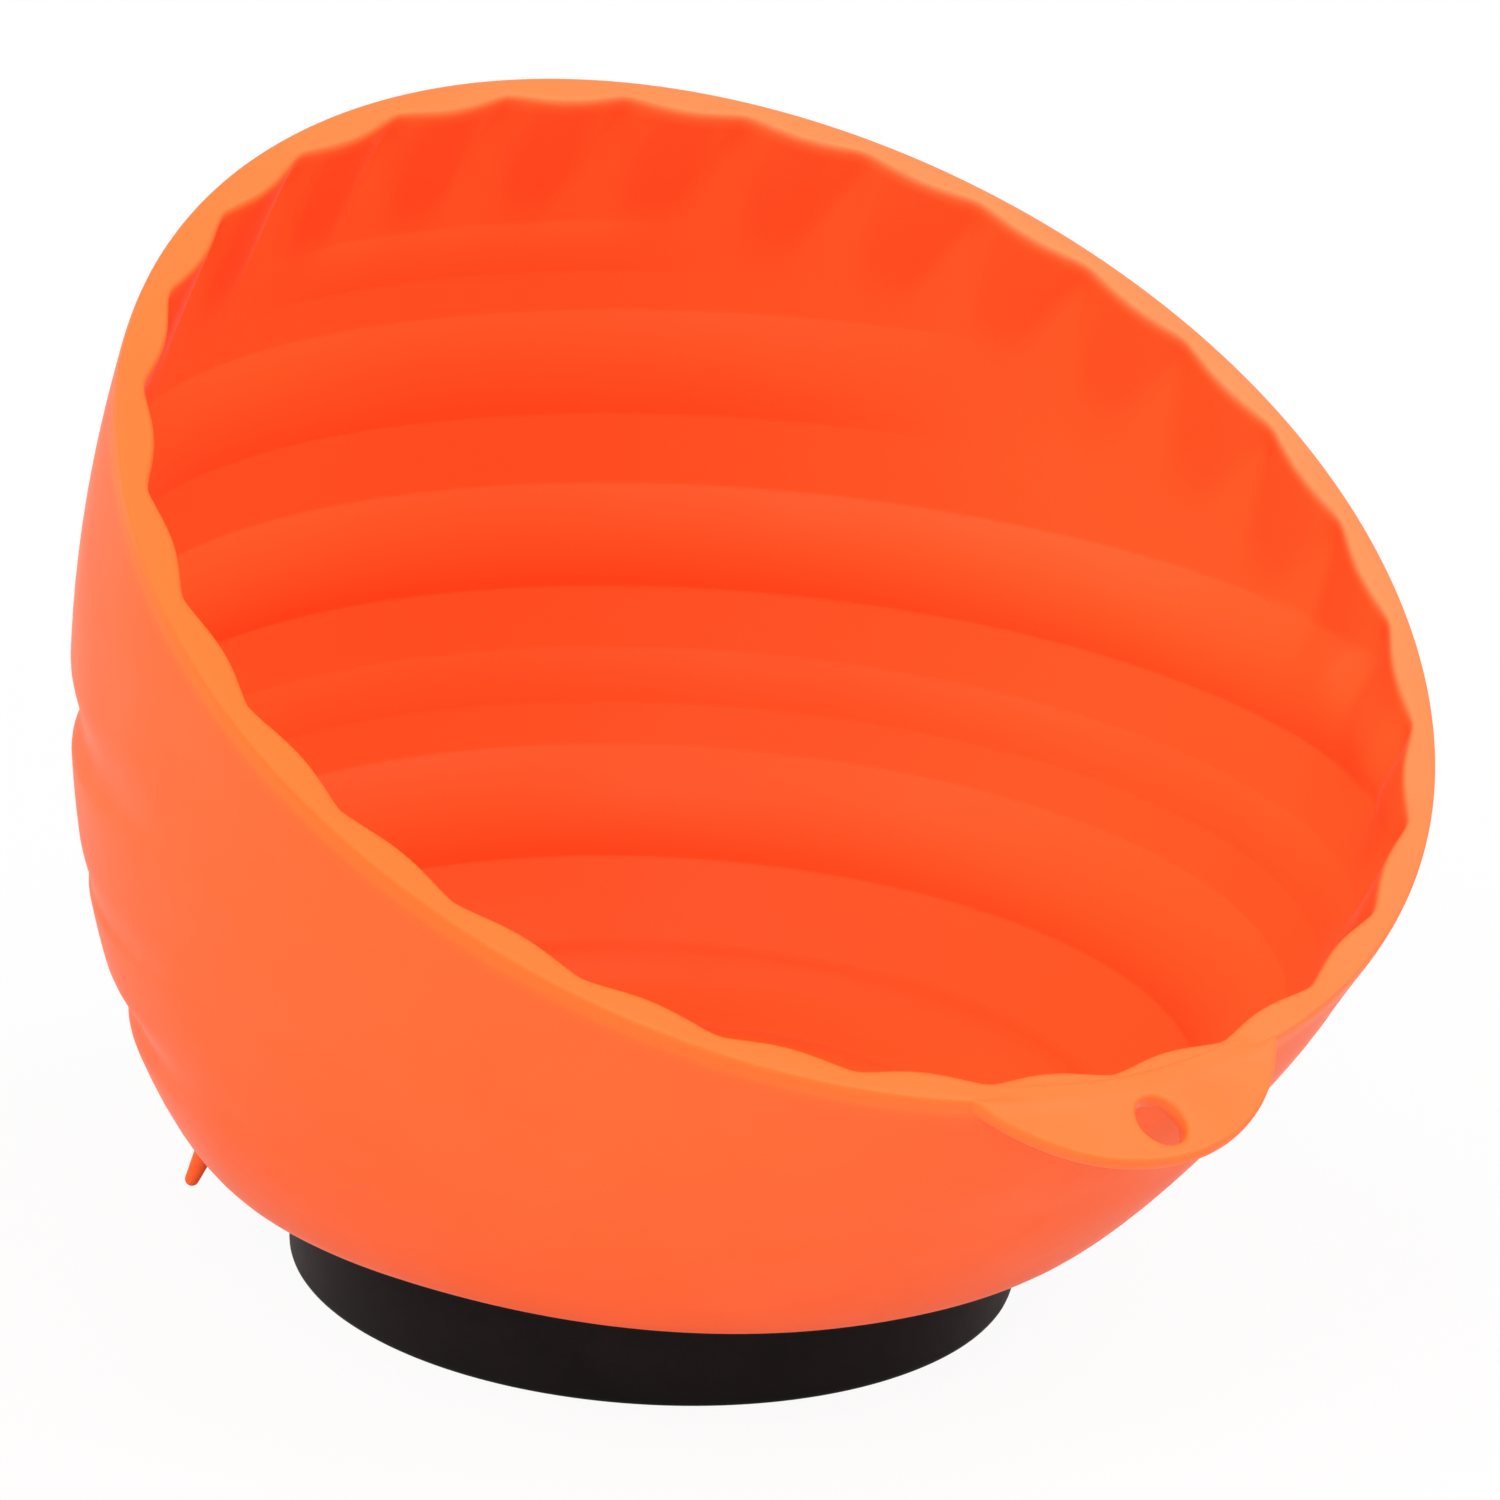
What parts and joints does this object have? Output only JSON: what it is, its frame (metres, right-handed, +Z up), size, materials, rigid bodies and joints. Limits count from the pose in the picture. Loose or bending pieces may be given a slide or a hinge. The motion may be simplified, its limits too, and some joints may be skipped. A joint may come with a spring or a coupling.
{
  "type": "magnetic parts tray",
  "caption": "Forward-leaning orange silicone bowl with a slanting fluted rim, rolled walls and a hang tab, clamped by a screw to a black booted magnet base; the lower pleat squeezes down.",
  "frame": {"origin": "middle of the base's flat underside, on the bench", "axes": "+Z up, -Y towards the low front of the rim with its hang tab, +Y towards the high back"},
  "size_m": [0.1516, 0.145, 0.1262],
  "materials": {
    "silicone_wall": "matt moulded orange silicone",
    "boot_rubber": "matt black moulded rubber",
    "ferrite": "dull dark grey sintered ferrite",
    "zinc_steel": "bright zinc plate"
  },
  "bodies": {
    "base_unit": {"bowl_cup": "silicone_wall", "pleat_wall": "silicone_wall", "moulded_peg": "silicone_wall", "base_boot": "boot_rubber", "ring_magnet": "ferrite", "carrier_plate": "zinc_steel", "weld_nut": "zinc_steel", "clamp_plate": "zinc_steel", "screw_washer": "zinc_steel", "clamp_screw": "zinc_steel"},
    "bowl_top": {"bowl_hood": "silicone_wall", "hang_tab": "silicone_wall"}
  },
  "joints": [
    {"name": "bowl_squeeze", "type": "slide", "parent": "base_unit", "child": "bowl_top", "axis": [0, 0, -1], "range_m": [0, 0.008], "stiffness_N_per_m": 400, "springref_m": -0.006, "deforming": ["pleat_wall"]}
  ]
}
